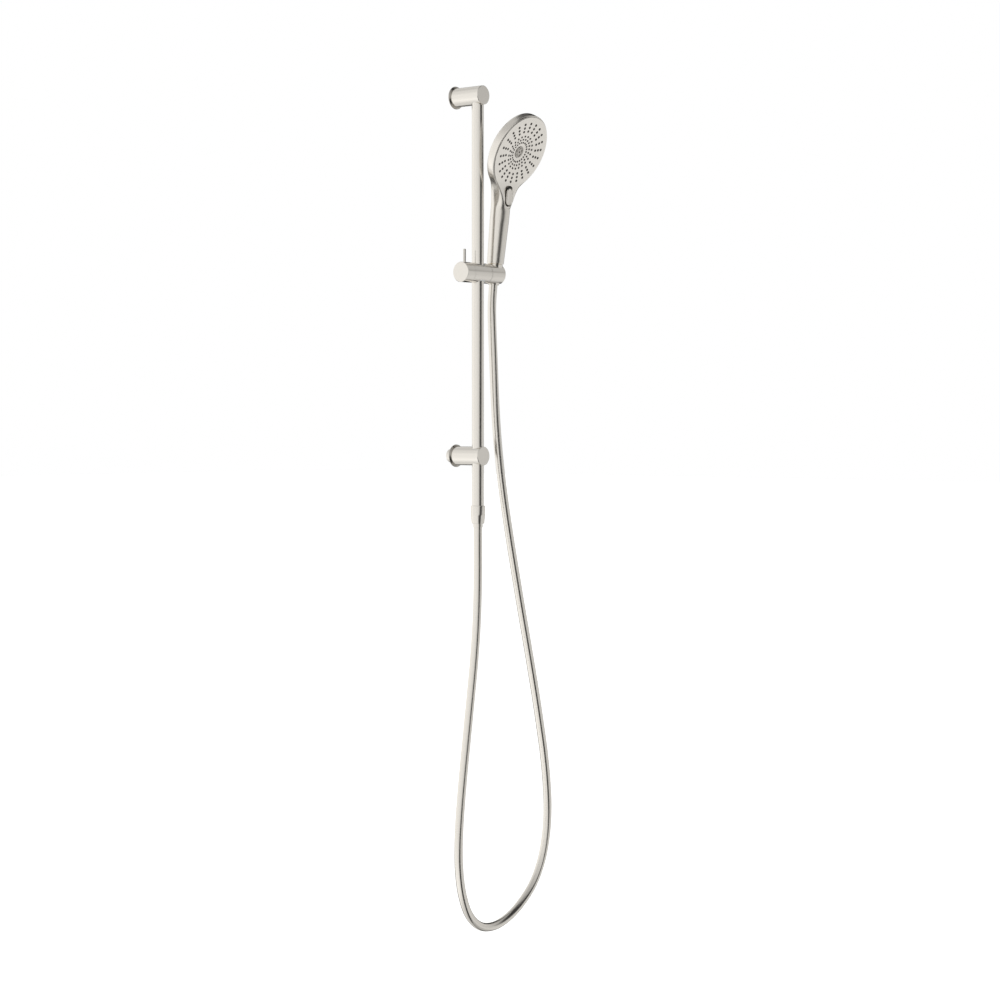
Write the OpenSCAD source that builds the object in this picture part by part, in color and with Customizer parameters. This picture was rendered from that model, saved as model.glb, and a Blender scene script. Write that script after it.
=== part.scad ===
// Hand shower on a slide rail: two wall brackets, a round rail that carries the water,
// a clamping slider with a turning holder, a round-faced handset and its hose.
// The wall is the plane Y = 0 and the shower stands on its -Y side. Z is up.
// The origin is where the water inlet passes through the wall face.

/* [Rail] */
// Outer diameter of the rail
rail_d = 19; // [18:0.5:20]
// Wall thickness of the rail tube
rail_wall = 1.5; // [1:0.1:2]
// Distance from the lower bracket's axis to the upper one's
bracket_gap = 570; // [540:10:900]
// Distance from the wall to the rail's axis
rail_off = 46; // [44:1:60]
// Length of rail below the lower bracket's axis
rail_below = 82; // [60:1:100]

/* [Brackets] */
// Diameter of a bracket
bracket_d = 30; // [29:0.5:34]
// How far a bracket's end face stands in front of the rail's axis
bracket_nose = 12; // [11.5:0.5:16]
// Diameter of the cover ring at the wall
flange_d = 36; // [34:1:50]
// Thickness of the cover ring
flange_t = 3; // [2:0.5:4]

/* [Slider] */
// Height of the slider's axis over the lower bracket
slider_z = 290; // [200:5:330]
// Diameter of the slider barrel
slider_d = 32; // [31:0.5:36]
// Left end of the lock knob
knob_x = -41.5; // [-46:0.5:-40]
// Joint between the knob and the body
body_x = -23; // [-25:0.5:-22]
// Joint between the body and the holder
holder_x = 18; // [17:0.5:19]
// Right end of the holder
holder_end = 50.5; // [50:0.5:52]
// Distance from the rail's axis to the handset's axis
hand_x = 40.5; // [40:0.5:41]
// Diameter of the lock lever
lever_d = 4.4; // [3.6:0.2:5]

/* [Handset] */
// Diameter of the spray head
head_d = 125; // [115:1:130]
// Thickness of the spray head at its middle
head_t = 20; // [18:1:24]
// Diameter of the handle near the head
handle_d = 31; // [30:0.5:33]
// Diameter of the handle at its lower end
handle_base_d = 27; // [26:0.5:28]
// Angle between the handle and the spray face
face_angle = 20; // [15:1:25]
// Lean of the handset out from the wall
hand_tilt = 7; // [0:1:10]
// Turn of the handset in its holder
hand_turn = 4; // [0:1:10]
// Spokes in the nozzle pattern
spokes = 22; // [16:1:24]

/* [Hose] */
// Outer diameter of the hose
hose_d = 14; // [12:0.5:14]

/* [Hidden] */
$fn = 64;

nickel = [0.83, 0.80, 0.75];
brass = [0.80, 0.68, 0.42];
seal = [0.15, 0.15, 0.15];
plastic = [0.75, 0.76, 0.76];
nozzle_grey = [0.38, 0.36, 0.34];

run = 0.06;         // radial clearance of a running fit
rail_r = rail_d / 2;
bore_r = rail_r - rail_wall;
top_z = bracket_gap + 7;
nose = rail_off + bracket_nose;
thread_r = 10.48;   // half the outer diameter of a G 1/2 thread
spigot_r = 11;
spigot_l = 22;
grub_y = 15;
seam = 0.4;         // width of the joints along the slider barrel
bush_r = 11.5;
pad_r = 5;
stem_r = 3;
pivot_r = 3;
lever_x = -32;

// ---- Axes ----

// Local Z runs out from the wall along a bracket's axis
module from_wall(z) translate([0, 0, z]) rotate([90, 0, 0]) children();

module on_rail(z) translate([0, -rail_off, z]) children();

// Local Z runs along the slider barrel, towards +X
module along_slider(x) on_rail(slider_z) translate([x, 0, 0]) rotate([0, 90, 0]) children();

// The holder's seat leans with the handset
module in_seat() on_rail(slider_z) translate([hand_x, 0, 0]) rotate([hand_tilt, 0, 0]) children();

// Local Z runs up the handle, and the spray face looks towards local -Y
module in_hand() in_seat() rotate([0, 0, hand_turn]) children();

module tube(h, r_out, r_in) {
    difference() {
        cylinder(h = h, r = r_out);
        translate([0, 0, -1]) cylinder(h = h + 2, r = r_in);
    }
}

// A solid of revolution from pairs of radius and height
module turned(profile) rotate_extrude() polygon(profile);

module o_ring(ring_r, wire_r) rotate_extrude() translate([ring_r, 0]) circle(r = wire_r, $fn = 24);

// ---- Brackets ----

flange_rim = 1.2;

module flange() {
    turned([[spigot_r + run, 0], [flange_d / 2, 0], [flange_d / 2, flange_rim],
        [bracket_d / 2 + 0.6, flange_t], [spigot_r + run, flange_t]]);
}

module lower_flange() color(nickel) from_wall(0) flange();

module upper_flange() color(nickel) from_wall(bracket_gap) flange();

nose_chamfer = 0.6;

module pillar() {
    difference() {
        turned([[0, flange_t], [bracket_d / 2, flange_t], [bracket_d / 2, nose - nose_chamfer],
            [bracket_d / 2 - nose_chamfer, nose], [0, nose]]);
        cylinder(h = spigot_l + 1, r = spigot_r + run);
        translate([0, -bracket_d / 2 - 1, grub_y]) rotate([-90, 0, 0]) cylinder(h = 6, r = 2.55);
    }
}

groove_z = 7.5;
groove_h = 1.7;

module lower_bracket() {
    color(nickel) difference() {
        from_wall(0) pillar();
        from_wall(0) cylinder(h = rail_off, r = 5);
        on_rail(-bracket_d) cylinder(h = 2 * bracket_d, r = rail_r + run);
        for (z = [-groove_z, groove_z])
            on_rail(z - groove_h / 2) cylinder(h = groove_h, r = rail_r + 1.5);
    }
}

module upper_bracket() {
    color(nickel) difference() {
        from_wall(bracket_gap) pillar();
        on_rail(bracket_gap - bracket_d) cylinder(h = bracket_d + 8, r = rail_r + run);
    }
}

module wall_nipple() {
    color(brass) from_wall(0) difference() {
        union() {
            translate([0, 0, -12]) cylinder(h = 13, r = thread_r);
            cylinder(h = spigot_l, r = spigot_r);
        }
        translate([0, 0, -13]) cylinder(h = 40, r = 5);
        translate([0, 0, 4]) cylinder(h = 14, r = 7.05);
        translate([0, 0, spigot_l - 4.8]) tube(1.8, spigot_r + 1, spigot_r - 1.5);
    }
}

module nipple_o_ring() color(seal) from_wall(0) translate([0, 0, spigot_l - 3.9])
    o_ring(spigot_r - 0.72, 0.72);

module check_valve() {
    color(plastic) from_wall(0) translate([0, 0, 4.1]) difference() {
        cylinder(h = 12, r = 7);
        translate([0, 0, -1]) cylinder(h = 9, r = 4.6);
        for (a = [0:60:300]) rotate([0, 0, a]) translate([3, 0, 5]) cylinder(h = 9, r = 1);
    }
}

module wall_spigot() {
    color(brass) from_wall(bracket_gap) difference() {
        cylinder(h = spigot_l, r = spigot_r);
        translate([0, 0, -1]) cylinder(h = 17, r = 3.4);
    }
}

module grub_screw() {
    difference() {
        cylinder(h = 3.4, r = 2.5);
        translate([0, 0, -1]) cylinder(h = 3, r = 1.3, $fn = 6);
    }
}

module bracket_grub_screws() {
    color(nickel) for (z = [0, bracket_gap])
        translate([0, -grub_y, z - spigot_r - 3.5]) grub_screw();
}

// ---- Rail and its hose connection ----

module rail_tube() {
    color(nickel) difference() {
        on_rail(-rail_below) tube(top_z + rail_below, rail_r, bore_r);
        from_wall(0) translate([0, 0, rail_off - rail_r - 2]) cylinder(h = 8, r = 4);
    }
}

module rail_top_plug() color(plastic) on_rail(top_z - 10) cylinder(h = 10, r = bore_r - 0.03);

module rail_o_rings() {
    color(seal) for (z = [-groove_z, groove_z]) on_rail(z) o_ring(rail_r + 0.78, 0.7);
}

outlet_z = -rail_below;
outlet_end = outlet_z - 12;
ferrule_r = 7.7;
ferrule_end = outlet_end - 19.5;

module rail_outlet_nipple() {
    color(brass) on_rail(outlet_z) difference() {
        union() {
            cylinder(h = 16, r = bore_r - 0.03);
            translate([0, 0, -2]) cylinder(h = 2, r = rail_r);
            translate([0, 0, -12]) cylinder(h = 10, r = thread_r);
        }
        translate([0, 0, -13]) cylinder(h = 30, r = 6);
    }
}

module rail_hose_washer() color(seal) on_rail(outlet_end - 2) tube(1.95, 9.5, 6.5);

nut_top = outlet_z + 3;
nut_end = nut_top - 28.5;

module rail_hose_nut() {
    color(nickel) on_rail(0) turned([[10.54, nut_top], [11.1, nut_top], [11.5, nut_top - 0.5],
        [11.5, nut_top - 14], [10.2, nut_end + 0.4], [9.8, nut_end], [ferrule_r + run, nut_end],
        [ferrule_r + run, outlet_end - 4.6], [10.54, outlet_end - 4.6]]);
}

module rail_ferrule() {
    color(nickel) on_rail(0) turned([[5, outlet_end - 2.05], [9.8, outlet_end - 2.05],
        [9.8, outlet_end - 4.5], [ferrule_r, outlet_end - 4.5], [ferrule_r, ferrule_end],
        [5, ferrule_end]]);
}

// The hose hangs in one long loop from the ferrule under the rail up to the handset's ferrule
seat_end = 14;      // from the slider's axis down the handle's axis to the handset ferrule's end
hose_top = [hand_x, -rail_off + seat_end * sin(hand_tilt), slider_z - seat_end * cos(hand_tilt)];
hose_route = concat([[0, -rail_off, ferrule_end]], [
    [0, -46, -140], [0, -46, -180], [-1, -46, -225], [-4, -46, -275], [-10, -46, -330],
    [-18, -46, -385], [-27, -46, -445], [-36, -46, -505], [-43, -46, -560], [-47, -46, -610],
    [-46, -46, -655], [-38, -46, -697], [-21, -46, -732], [6, -46, -753], [40, -46, -758],
    [76, -46, -749], [110, -46, -730], [140, -46, -703], [161, -46, -668], [173, -46, -627],
    [177, -46, -583], [174, -46, -537], [167, -46, -490], [157, -46, -443], [146, -46, -395],
    [134, -46, -347], [121, -46, -297], [107, -46, -244], [93, -46, -189], [79, -46, -133],
    [66, -46, -76], [55, -46, -20], [47, -46, 36], [42, -46, 92], [40.5, -44.5, 146],
    [40.5, -42, 196], [40.5, -41, 238]], [hose_top]);
hose_sides = 10;
// Directions in which the hose leaves its two ferrules
hose_out = [0, 0, -1];
hose_in = [0, -sin(hand_tilt), cos(hand_tilt)];

function unit(v) = v / norm(v);
function last(list) = list[len(list) - 1];

// Heading at a route point: along the chord of its neighbours, or square to a ferrule's end
function heading(p, i) = i == 0 ? hose_out : i == len(p) - 1 ? hose_in : unit(p[i + 1] - p[i - 1]);

// A smooth cubic between two route points
function between(p, i, t) = let(d = norm(p[i + 1] - p[i]), a = heading(p, i), b = heading(p, i + 1))
    (2 * t * t * t - 3 * t * t + 1) * p[i] + (t * t * t - 2 * t * t + t) * d * a
    + (3 * t * t - 2 * t * t * t) * p[i + 1] + (t * t * t - t * t) * d * b;

hose_path = concat([for (i = [0:len(hose_route) - 2], t = [0, 0.5]) between(hose_route, i, t)],
    [last(hose_route)]);

// Ring of points square to the path, whose plane keeps the Y axis as one side
function hose_ring(p, i) = let(t = heading(p, i), side = unit(cross(t, [0, 1, 0])), up = cross(side, t))
    [for (k = [0:hose_sides - 1]) let(a = 360 * k / hose_sides)
        p[i] + hose_d / 2 * (cos(a) * side + sin(a) * up)];

module swept(path, sides) {
    n = len(path);
    points = [for (i = [0:n - 1]) each hose_ring(path, i)];
    walls = [for (i = [0:n - 2], k = [0:sides - 1]) let(a = i * sides + k,
        b = i * sides + (k + 1) % sides) each [[a, b, b + sides], [a, b + sides, a + sides]]];
    caps = [[for (k = [sides - 1:-1:0]) k], [for (k = [0:sides - 1]) (n - 1) * sides + k]];
    polyhedron(points, concat(walls, caps));
}

module hose() color(nickel) swept(hose_path, hose_sides);

// ---- Slider ----

module barrel(x_low, x_high) along_slider(x_low) cylinder(h = x_high - x_low, r = slider_d / 2);

bush_slit = 2;

module slider_bush() {
    color(plastic) difference() {
        intersection() {
            on_rail(slider_z - slider_d / 2) tube(slider_d, bush_r, rail_r + run);
            along_slider(-slider_d) cylinder(h = 2 * slider_d, r = slider_d / 2 - 0.4);
        }
        on_rail(slider_z) translate([0, -bush_slit / 2, -slider_d / 2])
            cube([slider_d / 2, bush_slit, slider_d]);
    }
}

hub_r = 9;
hub_end = body_x + 3.4;
washer_r = 8.2;

module slider_body() {
    color(nickel) difference() {
        barrel(body_x + seam / 2, holder_x - seam / 2);
        on_rail(slider_z - slider_d) cylinder(h = 2 * slider_d, r = bush_r + run);
        along_slider(body_x) cylinder(h = hub_end - body_x + 0.1, r = hub_r + run);
        along_slider(body_x) cylinder(h = 8, r = stem_r + run);
        along_slider(body_x + 5) cylinder(h = 12, r = pad_r + run);
        along_slider(holder_x - seam / 2 - 0.6) cylinder(h = 1, r = washer_r + 0.3);
        along_slider(10) cylinder(h = 10, r = pivot_r + 0.02);
    }
}

pivot_head_x = 22.2;

module holder_pivot_screw() {
    color(brass) difference() {
        union() {
            along_slider(12.3) cylinder(h = pivot_head_x - 12.2, r = pivot_r);
            along_slider(pivot_head_x) cylinder(h = 3, r = 5);
        }
        along_slider(pivot_head_x + 1) cylinder(h = 3, r = 2, $fn = 6);
    }
}

module holder_wave_washer() {
    color(plastic) along_slider(holder_x - seam / 2 - 0.55) tube(0.85, washer_r, pivot_r + 0.1);
}

cap_chamfer = 0.6;

module lock_knob() {
    color(nickel) difference() {
        union() {
            along_slider(knob_x) turned([[0, 0], [slider_d / 2 - cap_chamfer, 0],
                [slider_d / 2, cap_chamfer], [slider_d / 2, body_x - seam / 2 - knob_x],
                [0, body_x - seam / 2 - knob_x]]);
            along_slider(body_x - 1) cylinder(h = hub_end - body_x + 1, r = hub_r);
        }
        along_slider(-37) cylinder(h = 20, r = stem_r + run);
        on_rail(slider_z + 11.5) translate([lever_x, 0, 0]) cylinder(h = 10, r = lever_d / 2 + 0.02);
    }
}

module lock_lever() {
    color(nickel) on_rail(slider_z + 11.5) translate([lever_x, 0, 0]) turned([[0, 0],
        [lever_d / 2, 0], [lever_d / 2, 24.4], [lever_d / 2 - 0.6, 25], [0, 25]]);
}

module brake_pad() {
    color(plastic) union() {
        along_slider(-36) cylinder(h = 20, r = stem_r);
        along_slider(-16.6) cylinder(h = 5, r = pad_r);
    }
}

// The seat is a cone that the hose's nut drops into, open on its outer side for the hose
seat_top_r = 12.4;
seat_low_r = 9.2;
seat_top = 16.6;
seat_low = -17;
seat_slot = 15;
function seat_r(w) = seat_low_r + (seat_top_r - seat_low_r) * (w - seat_low) / (seat_top - seat_low);

module holder() {
    color(nickel) difference() {
        along_slider(holder_x + seam / 2) turned([[0, 0], [slider_d / 2, 0],
            [slider_d / 2, holder_end - holder_x - seam / 2 - cap_chamfer],
            [slider_d / 2 - cap_chamfer, holder_end - holder_x - seam / 2],
            [0, holder_end - holder_x - seam / 2]]);
        in_seat() translate([0, 0, -22]) cylinder(h = 44, r1 = seat_r(-22) + run, r2 = seat_r(22) + run);
        in_seat() translate([0, -seat_slot / 2, -30]) cube([20, seat_slot, 60]);
        along_slider(holder_x) cylinder(h = 8, r = pivot_r + run);
        along_slider(pivot_head_x - 0.1) cylinder(h = 8, r = 5 + run);
    }
}

// ---- Handset: connection to the hose ----

module handset_ferrule() {
    color(nickel) in_seat() turned([[5, -seat_end], [ferrule_r, -seat_end], [ferrule_r, 2],
        [9.3, 2], [9.3, 4.4], [5, 4.4]]);
}

module cone_nut() {
    color(nickel) in_hand() turned([[ferrule_r + run, seat_low], [seat_low_r - 0.4, seat_low],
        [seat_r(seat_low + 0.4), seat_low + 0.4], [seat_top_r, seat_top], [thread_r + 0.04, seat_top],
        [thread_r + 0.04, 6], [9.3 + run, 6], [9.3 + run, 1.94], [ferrule_r + run, 1.94]]);
}

module handset_washer() color(seal) in_hand() translate([0, 0, 4.46]) tube(1.8, 9.2, 6);

handle_low = 17;

module inlet_nipple() {
    color(brass) in_hand() difference() {
        union() {
            translate([0, 0, 6.4]) cylinder(h = handle_low - 6, r = thread_r);
            translate([0, 0, handle_low + 0.1]) cylinder(h = 15, r = 11);
        }
        translate([0, 0, 6]) cylinder(h = 30, r = 4.8);
        translate([0, 0, 26]) cylinder(h = 10, r = 6.05);
    }
}

module water_tube() color(plastic) in_hand() translate([0, 0, 26.1]) tube(78, 6, 4.8);

// ---- Handset: the moulded body ----
// The body is lofted along a line that follows the spray face and then bends into the handle.
// s is the distance along that line from the middle of the face, and h is the height over it.

head_r = head_d / 2;
face_v = 30.6;      // how far the middle of the face stands in front of the handle's axis
face_w = 194.2;     // height of the middle of the face along the handle
bend_top = -45;     // stretch of s over which the line turns
bend_low = -95;
bend_r = (bend_top - bend_low) / (face_angle * PI / 180);
neck_r = 48;        // radius of the hollow curve between head and handle
rim_mid = -8;       // height at which the head is widest
grip_r = handle_d / 2;

corner_v = face_v + bend_top * sin(face_angle);
corner_w = face_w + bend_top * cos(face_angle);
grip_v = corner_v - bend_r * (1 - cos(face_angle));
grip_w = corner_w - bend_r * sin(face_angle);

// Angle of the line at s, and its place as [v forward, w up the handle]
function line_angle(s) = s >= bend_top ? face_angle
    : s >= bend_low ? face_angle * (s - bend_low) / (bend_top - bend_low) : 0;
function line_at(s) = s >= bend_top ? [face_v + s * sin(face_angle), face_w + s * cos(face_angle)]
    : s >= bend_low ? let(a = line_angle(s)) [corner_v - bend_r * (cos(a) - cos(face_angle)),
        corner_w - bend_r * (sin(face_angle) - sin(a))]
    : [grip_v, grip_w + s - bend_low];

// Local place of a point at u to the right, s along the line and h over it
function placed(u, s, h) = let(p = line_at(s), a = line_angle(s))
    [u, -(p[0] + h * cos(a)), p[1] - h * sin(a)];

function smooth(t) = let(c = min(1, max(0, t))) c * c * (3 - 2 * c);
function mix(a, b, t) = a + (b - a) * t;

taper_top = 85;
function grip_r_at(s) = let(t = (line_at(s)[1] - handle_low) / (taper_top - handle_low))
    mix(handle_base_d / 2, grip_r, min(1, max(0, t)));

// Half width of the body: the head's circle, a hollow curve, then the handle
neck_s = -sqrt(pow(head_r + neck_r, 2) - pow(grip_r + neck_r, 2));
head_s = neck_s * head_r / (head_r + neck_r);
function half_width(s) = s >= head_s ? sqrt(head_r * head_r - s * s)
    : s >= neck_s ? grip_r + neck_r - sqrt(neck_r * neck_r - pow(s - neck_s, 2)) : grip_r_at(s);

// Right half of a section, from its front to its back, drawn in by wall
half_steps = 16;
function half_section(s, width, wall) = let(
    t = smooth((s + 95) / 50), r = grip_r_at(s),
    front = (r - grip_v) * (1 - smooth((s + 85) / 40)) - wall,
    back = mix(-grip_v - r, -head_t, t) + wall,
    mid = mix(-grip_v, rim_mid, t),
    front_n = mix(2, 9, t), back_n = mix(2, 4.5, t))
    [for (j = [0:half_steps]) let(a = 180 * j / half_steps, n = a < 90 ? front_n : back_n,
        reach = a < 90 ? front - mid : back - mid)
        [(width - wall) * pow(abs(sin(a)), 2 / n), mid + reach * pow(abs(cos(a)), 2 / n)]];

function loop_at(s, wall) = let(half = half_section(s, half_width(s), wall)) concat(
    [for (p = half) placed(p[0], s, p[1])],
    [for (j = [half_steps - 1:-1:1]) placed(-half[j][0], s, half[j][1])]);

// Half section of the round top of the head, turned by an angle about the face's middle
function spoke_at(a, wall) = let(half = half_section(0, head_r, wall))
    [for (j = [1:half_steps - 1]) placed(half[j][0] * cos(a), half[j][0] * sin(a), half[j][1])];

fan_steps = 18;
function quad(a, b, c, d) = [[a, b, c], [a, c, d]];

module moulding(wall, s_start, rows) {
    m = 2 * half_steps;
    per = half_steps - 1;
    loops = [for (i = [0:rows]) each loop_at(s_start * (1 - i / rows), wall)];
    fans = [for (k = [1:fan_steps - 1]) each spoke_at(180 * k / fan_steps, wall)];
    rim = rows * m;
    fan = (rows + 1) * m;
    sides = [for (i = [0:rows - 1], j = [0:m - 1]) let(n = (j + 1) % m)
        each quad(i * m + j, (i + 1) * m + j, (i + 1) * m + n, i * m + n)];
    // Point j of the spoke numbered k, where the first and last spokes belong to the last loop
    function at(k, j) = j == 0 ? rim : j == half_steps ? rim + half_steps
        : k == 0 ? rim + j : k == fan_steps ? rim + m - j : fan + (k - 1) * per + j - 1;
    cap = [for (k = [0:fan_steps - 1], j = [0:half_steps - 1])
        each (j == 0 ? [[at(k, 0), at(k + 1, 1), at(k, 1)]]
        : j == half_steps - 1 ? [[at(k, j), at(k + 1, j), at(k, j + 1)]]
        : quad(at(k, j), at(k + 1, j), at(k + 1, j + 1), at(k, j + 1)))];
    polyhedron(concat(loops, fans), concat([[for (j = [0:m - 1]) j]], sides, cap));
}

handle_s = bend_low + handle_low - grip_w;
shell_wall = 2.2;
panel_wall = 1.9;

// The front panel is a disc with a tongue that runs down the handle
panel_r = 60.5;
tongue_tip = -92.6;
tongue_end = 22;        // length over which the tongue rounds off
tongue_margin = 3.2;    // from the tongue's side to the body's
panel_top_s = panel_r - 0.4;

function tongue_half(s, gap) = let(edge = half_width(s) - tongue_margin + gap,
    down = tongue_tip - gap + tongue_end - s)
    down <= 0 ? edge : edge * sqrt(max(0, 1 - pow(down / tongue_end, 2)));
function disc_half(s, gap) = sqrt(max(0, pow(panel_r + gap, 2) - s * s));

// A block through the front with the panel's outline, from one height to another
module panel_block(gap, low, high, s_top, with_disc) {
    n = 36;
    first = tongue_tip - gap + 0.05;
    function s_at(i) = mix(first, s_top, (1 - cos(180 * i / n)) / 2);
    points = [for (i = [0:n]) let(s = s_at(i),
        w = max(tongue_half(min(s, -30), gap), with_disc ? disc_half(s, gap) : 0))
        each [placed(-w, s, low), placed(w, s, low), placed(w, s, high), placed(-w, s, high)]];
    walls = [for (i = [0:n - 1], k = [0:3]) let(a = 4 * i, m = (k + 1) % 4)
        each quad(a + k, a + m, a + 4 + m, a + 4 + k)];
    polyhedron(points, concat([[3, 2, 1, 0]], walls, [[for (k = [0:3]) 4 * n + k]]));
}

// Local Z points out of the spray face at its middle
module on_face(h) translate([0, -face_v, face_w]) rotate([90 + face_angle, 0, 0])
    translate([0, 0, h]) children();

panel_gap = 0.15;

module handle_shell() {
    color(nickel) in_hand() difference() {
        moulding(0, handle_s, 24);
        moulding(shell_wall, bend_low + 30 - grip_w, 20);
        panel_block(panel_gap, -4, 14, panel_top_s, true);
        translate([0, 0, handle_low - 1]) cylinder(h = 16.2, r = 11.04);
    }
}

// Dished front of the plate, as pairs of radius and height
dish = [[9.7, -4], [16, -3.1], [27, -1.4], [36, -0.7], [43, -0.3], [52, 0], [60.5, 0]];
plate_t = 1.8;
insert_r = 9.6;

function dropped(profile, by) = [for (i = [len(profile) - 1:-1:0]) profile[i] - [0, by]];

// Rings of nozzles: radius of the ring, radius of a nozzle, turn in degrees
nozzle_rings = [[49.1, 1.8, -5], [42.6, 1.75, -5], [36.2, 1.7, -5],
    [27.3, 1.4, -1], [21.8, 1.35, 3], [16.3, 1.25, 7]];

module at_ring(ring) {
    for (k = [0:spokes - 1]) rotate([0, 0, 360 * k / spokes + ring[2]])
        translate([ring[0], 0, 0]) children();
}

slot_low = 118;
slot_high = 132.6;
slot_r = 8.6;
module stadium(low, high, r, v_low, v_high) {
    hull() for (w = [low, high]) translate([0, -v_low, w]) rotate([90, 0, 0])
        cylinder(h = v_high - v_low, r = r, $fn = 32);
}

module face_panel() {
    color(nickel) in_hand() difference() {
        union() {
            on_face(0) turned(concat(dish, dropped(dish, plate_t)));
            difference() {
                intersection() {
                    moulding(0, -110, 20);
                    panel_block(0, -4, 14, -30, false);
                }
                moulding(panel_wall, -112, 20);
                on_face(-12) cylinder(h = 20, r = panel_r - 1);
            }
        }
        on_face(-8) for (ring = nozzle_rings) at_ring(ring)
            cylinder(h = 12, r = ring[1] + 0.12, $fn = 16);
        stadium(slot_low, slot_high, slot_r, 5, 20);
    }
}

mat_t = 1.1;
nub_proud = 0.5;

module nozzle_mat() {
    color(nozzle_grey) in_hand() on_face(0) {
        flat = [for (p = dish) if (p[0] < 53) p - [0, plate_t + 0.03]];
        turned(concat(flat, dropped(flat, mat_t)));
        for (ring = nozzle_rings) let(front = lookup(ring[0], dish)) at_ring(ring)
            translate([0, 0, front - plate_t - 0.3])
                cylinder(h = plate_t + 0.3 + nub_proud, r = ring[1], $fn = 16);
    }
}

module centre_insert() {
    color(nickel) in_hand() on_face(0) difference() {
        turned([[0, -7], [insert_r, -7], [insert_r, -3.9], [8.9, -3.4], [8, -3.4], [7.4, -4.2],
            [5, -4.2], [4, -3.6], [0, -3.6]]);
        translate([0, 0, -8]) cylinder(h = 6, r = 0.9);
        for (a = [0:72:288]) rotate([0, 0, a]) translate([0, 0, -5.4])
            rotate_extrude(angle = 46) translate([5.4, 0]) square([1.4, 3]);
    }
}

chamber_r = 54;

module spray_chamber() {
    color(plastic) in_hand() on_face(0) difference() {
        translate([0, 0, -15]) cylinder(h = 11.9, r = chamber_r);
        translate([0, 0, -10]) cylinder(h = 10, r = chamber_r - 2.5);
        translate([0, -chamber_r - 1, -9.6]) rotate([-90, 0, 0]) cylinder(h = 8, r = 3);
    }
}

valve_w = 124;
valve_r = 8;

module selector_valve() {
    color(plastic) in_hand() difference() {
        translate([0, 0, 104.2]) cylinder(h = 34, r = valve_r);
        translate([0, 0, 103]) cylinder(h = 14, r = 4);
        translate([0, 0, valve_w + 5]) cylinder(h = 14, r = 4);
        translate([0, 3, valve_w]) rotate([90, 0, 0]) cylinder(h = 20, r = stem_r + run);
    }
}

button_low = 117.4;
button_high = 131.2;
button_r = 6.1;
button_back = 12.7;
button_front = 15.7;

module selector_button() {
    color(nickel) in_hand() {
        stadium(button_low, button_high, button_r, button_back, button_front);
        translate([0, 0, valve_w]) rotate([90, 0, 0]) cylinder(h = button_back + 0.1, r = stem_r);
    }
}

spring_turns = 3.5;
spring_r = 4;
spring_wire_r = 0.45;
spring_sides = 6;
spring_rings = 42;

// The wire's middle runs from just in front of the valve to just behind the button
module button_spring() {
    rise = button_back - valve_r - 2 * spring_wire_r - 0.2;
    points = [for (i = [0:spring_rings], k = [0:spring_sides - 1])
        let(a = 360 * spring_turns * i / spring_rings, b = 360 * k / spring_sides,
            r = spring_r + spring_wire_r * cos(b))
        [r * cos(a), r * sin(a), rise * i / spring_rings + spring_wire_r * sin(b)]];
    walls = [for (i = [0:spring_rings - 1], k = [0:spring_sides - 1])
        let(a = i * spring_sides, n = (k + 1) % spring_sides)
        each quad(a + k, a + spring_sides + k, a + spring_sides + n, a + n)];
    caps = [[for (k = [0:spring_sides - 1]) k],
        [for (k = [spring_sides - 1:-1:0]) spring_rings * spring_sides + k]];
    color(brass) in_hand() translate([0, -valve_r - spring_wire_r - 0.1, valve_w])
        rotate([90, 0, 0]) polyhedron(points, concat(walls, caps));
}

lower_flange();
upper_flange();
lower_bracket();
upper_bracket();
wall_nipple();
nipple_o_ring();
check_valve();
wall_spigot();
bracket_grub_screws();
rail_tube();
rail_top_plug();
rail_o_rings();
rail_outlet_nipple();
rail_hose_washer();
rail_hose_nut();
rail_ferrule();
hose();
slider_bush();
slider_body();
holder_pivot_screw();
holder_wave_washer();
lock_knob();
lock_lever();
brake_pad();
holder();
handset_ferrule();
cone_nut();
handset_washer();
inlet_nipple();
handle_shell();
face_panel();
nozzle_mat();
spray_chamber();
centre_insert();
water_tube();
selector_valve();
selector_button();
button_spring();
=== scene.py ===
"""Hand shower on a slide rail: the look of every visible part, built over the CAD frame.
Lengths in the shape functions are millimetres and turn into metres where a mesh is made."""

import math

import bmesh
import bpy
import numpy as np
from mathutils import Matrix, Vector


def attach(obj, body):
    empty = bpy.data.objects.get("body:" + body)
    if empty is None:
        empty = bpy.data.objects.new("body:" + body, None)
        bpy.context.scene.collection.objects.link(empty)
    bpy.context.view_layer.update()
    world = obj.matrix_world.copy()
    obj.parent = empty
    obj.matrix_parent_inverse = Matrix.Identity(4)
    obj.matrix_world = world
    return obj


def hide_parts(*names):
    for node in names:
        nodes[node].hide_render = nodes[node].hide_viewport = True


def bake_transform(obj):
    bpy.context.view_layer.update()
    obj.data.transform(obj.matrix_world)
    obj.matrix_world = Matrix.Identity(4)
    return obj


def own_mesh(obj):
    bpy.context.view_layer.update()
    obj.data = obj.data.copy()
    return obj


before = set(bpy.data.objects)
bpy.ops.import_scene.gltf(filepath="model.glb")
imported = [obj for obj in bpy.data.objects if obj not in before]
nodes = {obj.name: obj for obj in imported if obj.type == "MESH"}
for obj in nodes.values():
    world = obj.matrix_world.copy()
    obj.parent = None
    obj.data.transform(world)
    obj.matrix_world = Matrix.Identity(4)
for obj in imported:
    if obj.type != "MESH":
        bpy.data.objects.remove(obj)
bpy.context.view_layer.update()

MM = 0.001

# ---- Camera ----

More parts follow.
